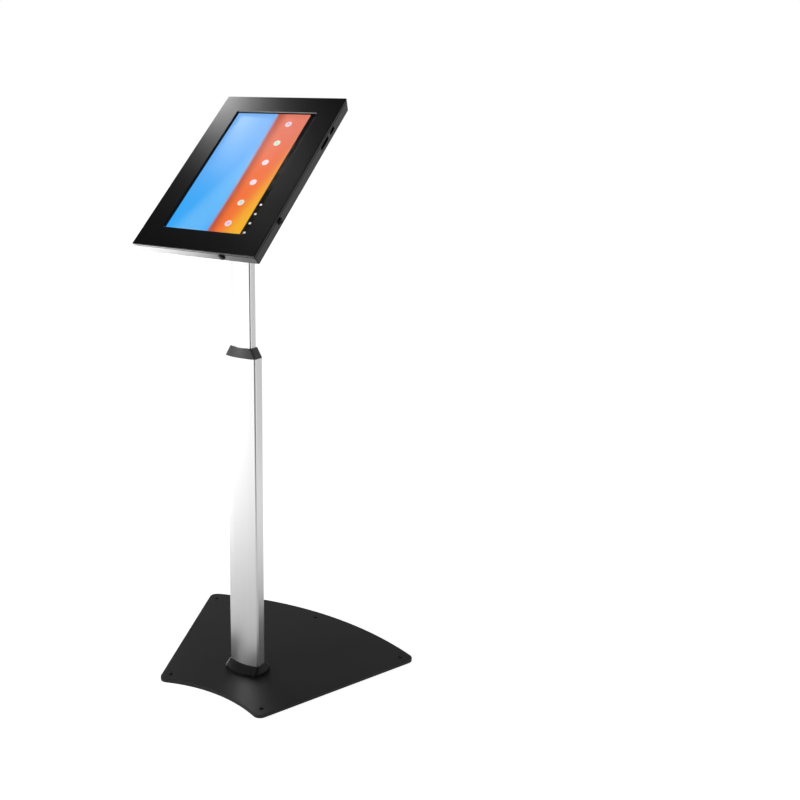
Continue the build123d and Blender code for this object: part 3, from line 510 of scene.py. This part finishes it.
# Slider. A moulded plug in the inner column's lower end, screwed to it, that runs inside
# the outer one.
dress("column_slider", moulded_plastic("slider_plastic", 0.018, 0.36))
inner_half_width = 0.0174
turned_screws(
    "slider_set_screws", both_sides(inner_half_width, 0.201),
    [(1.25, 0), (1.5, -0.25)], (False, 1.5, 1.4, 0), (1.5, -6, 0.5),
    zinc, "mast", "slider_screws",
)


# Knuckle. An aluminium casting plugged into the inner column's upper end, with the bore
# that the tilt bolt passes through.
dress("tilt_knuckle", cast_aluminium)
turned_screws(
    "knuckle_set_screws", both_sides(inner_half_width, 0.66),
    [(1.7, 0), (2, -0.3)], (False, 2, 1.8, 0), (2, -8, 0.7), zinc, "mast", "knuckle_screws",
)


# Tilt bracket. Three millimetre steel folded to a channel, coated like the housing.
bracket_coat = powder_coat("bracket_powder_coat", 0.012, 0.36, 0.00003)
dress("tilt_bracket", bracket_coat)


# Tilt bolt with its nut, steel washers outside the ears and friction washers inside.
friction_fibre = rubber("friction_fibre", 0.05, 0.7, 0.0003)
dress("friction_washers", friction_fibre)
dress("bolt_washers", zinc)
dress("pivot_bolt", zinc)
dress("pivot_nut", zinc)


# Swivel. A plastic disc lets the housing's plate turn on the bracket, under a low-headed
# bolt with a washer and nut behind.
dress("swivel_disc", moulded_plastic("disc_plastic", 0.04, 0.4))
dress("swivel_washer", zinc)
dress("swivel_plate", bracket_coat)
turn = next(joint for joint in frame["joints"] if joint["name"] == "head_turn")
face_centre = Vector(turn["pos_m"])
face_out = Vector(turn["axis"])
face_up = face_out.cross(rightward)
plate_rear = face_centre - face_out * 0.0205
hole_places = (-0.0375, 0.0375)
plate_corners = [rightward * x + face_up * y for x in hole_places for y in hole_places]
turned_screws(
    "countersunk_plate_screws", [(plate_rear + corner, -face_out) for corner in plate_corners],
    [(3.9, 0), (2, -1.9)], (False, 2.5, 1.5, 0), (2, -6.2, 0.7), zinc, "head", "plate_screws",
)
dress("plate_nuts", zinc)
dress("swivel_bolt", zinc)
dress("swivel_nut", zinc)


# Rear tray. Folded and welded steel with sloping walls, ground flush at the corners and
# powder coated.
housing_coat = powder_coat("housing_powder_coat", 0.002, 0.29, 0.000006)
dress("rear_tray", housing_coat)


# Front cover. A shallow pan of the same steel with the window cut in it. Screws through
# the tray's walls hold it by tabs.
dress("front_cover", housing_coat)
dress("rivet_nuts", zinc)


# Security screws. Black button heads with a star socket and a pin in its middle.
wall_slope = 3.5 / 18
wall_angle = np.arctan(wall_slope)
screw_depth = 0.0095
housing_half_width = 0.1015
housing_half_height = 0.142
side_screw_drop = 0.074
lower_screw_offset = 0.044
seats = []
for outward, half_size, along in (
    (rightward, housing_half_width, face_up * -side_screw_drop),
    (-rightward, housing_half_width, face_up * -side_screw_drop),
    (-face_up, housing_half_height, rightward * lower_screw_offset),
):
    place = face_centre + outward * (half_size - screw_depth * wall_slope) + along - face_out * screw_depth
    seats.append((place, outward * cos(wall_angle) - face_out * sin(wall_angle)))
crown_round = 2.1
crown_start = (2.65, 0.6)
crown = [
    (crown_start[0] + crown_round * sin(turn), crown_start[1] + crown_round * cos(turn))
    for turn in np.radians(range(0, 91, 15))
]
turned_screws(
    "star_security_screws", seats, crown + [(4.75, 0), (2.5, 0)], (True, 4.1, 1.6, 0.75), (2.5, -8.2, 0.8),
    black_steel, "head", "security_screws",
)


# Packing. Closed-cell foam between the cover and the glass, at the corners and behind.
foam = rubber("packing_foam", 0.03, 0.9, 0.0012)
dress("window_foam", foam)
dress("corner_blocks", foam)
dress("back_pads", foam)


# Tablet. A black moulded shell with its two edge buttons.
tablet_plastic = moulded_plastic("tablet_plastic", 0.012, 0.42, 0.0002)
dress("tablet_shell", tablet_plastic)
dress("power_button", tablet_plastic)
dress("volume_button", tablet_plastic)


# Display. It is lit, and shows a plain start page: a blue field and a warm one that meet
# along the middle, a row of pale round keys and a black strip with small marks.
tilt = radians(90) - np.arcsin(face_out.z)
window_width = 0.134
window_height = 0.219
window_rise = 0.002
window_centre = face_centre + face_up * window_rise
screen = bpy.data.materials.new("lit_display")
nodes = Nodes(screen)
place = nodes.add("ShaderNodeTexCoord", {}, {}, "Object")
place = nodes.add("ShaderNodeMapping", {"vector_type": "TEXTURE"}, {
    "Vector": place, "Location": window_centre, "Rotation": (tilt, 0, 0),
})
across = place.part("X") / window_width + 0.5
upward = place.part("Y") / window_height + 0.5

deep_blue = (0.04, 0.4, 0.95, 1)
sky_blue = (0.2, 0.47, 0.93, 1)
pale_blue = (0.28, 0.66, 1.0, 1)
sweep = across * 5.5 - upward * 3.2
band = sweep.math("SINE", sweep)
blue = nodes.colour(upward.step(0.1, 1.0), deep_blue, sky_blue)
blue = nodes.colour(band.step(0.1, 1.0) * 0.35, blue, pale_blue)

dark_red = (0.45, 0.07, 0.03, 1)
orange = (0.9, 0.17, 0.035, 1)
rose = (0.8, 0.21, 0.14, 1)
yellow = (0.92, 0.45, 0.025, 1)
warm = nodes.colour(upward.step(0.35, 1.0), orange, rose)
warm = nodes.colour((across - upward * 0.35).step(0.6, 0.85), warm, yellow)
warm = nodes.colour(across.step(0.66, 0.53) * 0.8, warm, dark_red)
swing = upward * 4.0
sway = swing.math("SINE", swing) * 0.012
picture = nodes.colour((across - sway).step(0.49, 0.545), blue, warm)

key_count = 6
key_radius = 0.0056
key_column = 0.71
key_pitch = window_height / key_count
keys_up = upward * key_count
along_key = (keys_up.math("FRACT", keys_up) - 0.5) * key_pitch
beside_key = (across - key_column) * window_width
key_reach = along_key * along_key + beside_key * beside_key
key_distance = key_reach.math("SQRT", key_reach)
key_cover = key_distance.step(key_radius, key_radius * 0.8)
key_heart = key_distance.step(key_radius * 0.55, key_radius * 0.35)
key_number = keys_up.math("FLOOR", keys_up)
key_tint = nodes.add("ShaderNodeTexWhiteNoise", {"noise_dimensions": "1D"}, {"W": key_number}, "Color")
key_pale = nodes.colour(0.75, key_tint, white)
picture = nodes.colour(key_cover * 0.85, picture, key_pale)
picture = nodes.colour(key_heart * 0.45, picture, key_tint)

strip_start = 0.915
mark_pitch = 0.016
strip = across > strip_start
picture = nodes.colour(strip, picture, (0.002, 0.002, 0.002, 1))
mark_place = place.part("Y") / mark_pitch
mark = abs(mark_place.math("FRACT", mark_place) - 0.5) < 0.1
mark = mark * (abs(across - (strip_start + 1) / 2) < 0.012)
mark = mark * (abs(upward - 0.15) < 0.13)
picture = nodes.colour(mark * 0.8, picture, white)
glow = nodes.add("ShaderNodeBsdfPrincipled", {}, {
    "Base Color": (0.01, 0.01, 0.01, 1),
    "Roughness": 0.3,
    "Emission Color": picture,
    "Emission Strength": 1.0,
})
nodes.add("ShaderNodeOutputMaterial", {}, {"Surface": glow})
dress("display_panel", screen)


# Glass. The tablet's cover glass, clear over the display, with faint finger marks.
glass = bpy.data.materials.new("cover_glass")
nodes = Nodes(glass)
smears = grain(nodes, 0.01, 4, (1, 3, 1)).step(0.45, 0.75)
clear = nodes.add("ShaderNodeBsdfPrincipled", {}, {
    "Base Color": white,
    "Transmission Weight": 1.0,
    "IOR": 1.15,
    "Roughness": 0.01 + smears * 0.02,
})
nodes.add("ShaderNodeOutputMaterial", {}, {"Surface": clear})
dress("tablet_glass", glass)
